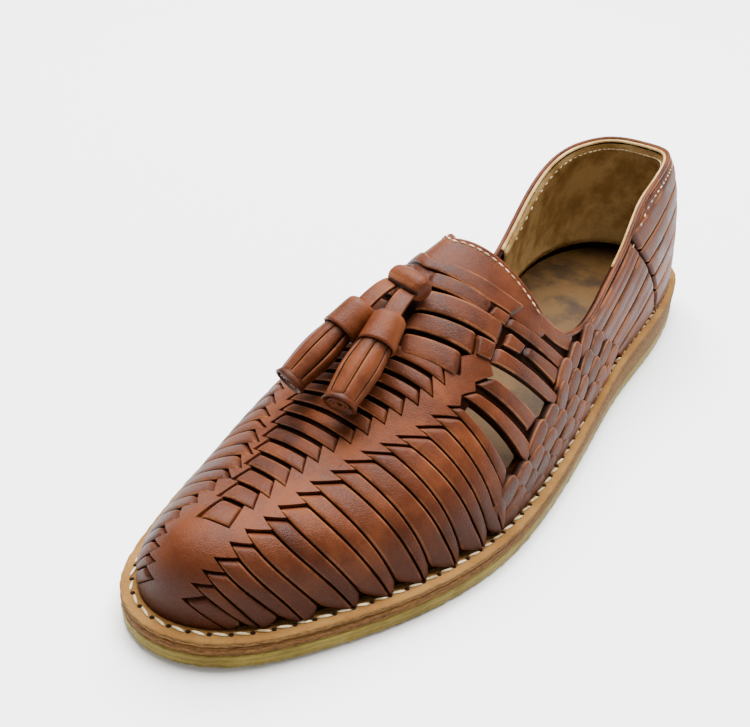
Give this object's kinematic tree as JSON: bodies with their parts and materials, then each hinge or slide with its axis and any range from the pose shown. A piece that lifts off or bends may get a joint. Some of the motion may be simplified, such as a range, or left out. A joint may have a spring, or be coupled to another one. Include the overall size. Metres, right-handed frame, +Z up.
{
  "type": "woven huarache loafer",
  "caption": "Closed-toe woven leather slip-on shoe, left foot, with a crepe outsole, a stitched welt, a low heel wedge and tassels hung from a rolled keeper.",
  "frame": {"origin": "on the floor, under the middle of the sole's outline", "axes": "+Z up, +Y towards the heel with the toe at -Y, +X towards the outer side of the left foot"},
  "size_m": [0.0982, 0.2944, 0.0728],
  "materials": {
    "brown_leather": "burnished, semi-gloss",
    "natural_leather": "vegetable-tanned, raw cut edges",
    "lining_leather": "unfinished, matt",
    "heel_board": "matt, cut edge",
    "crepe": "matt, translucent",
    "thread": "waxed linen thread"
  },
  "bodies": {
    "root": {"outsole": "crepe", "heel_wedge": "heel_board", "midsole": "natural_leather", "welt": "natural_leather", "insole": "lining_leather", "upper": "brown_leather", "keeper": "brown_leather", "thong_front": "brown_leather", "tassel_cap_front": "brown_leather", "tassel_fringe_front": "brown_leather", "thong_rear": "brown_leather", "tassel_cap_rear": "brown_leather", "tassel_fringe_rear": "brown_leather"}
  },
  "joints": []
}
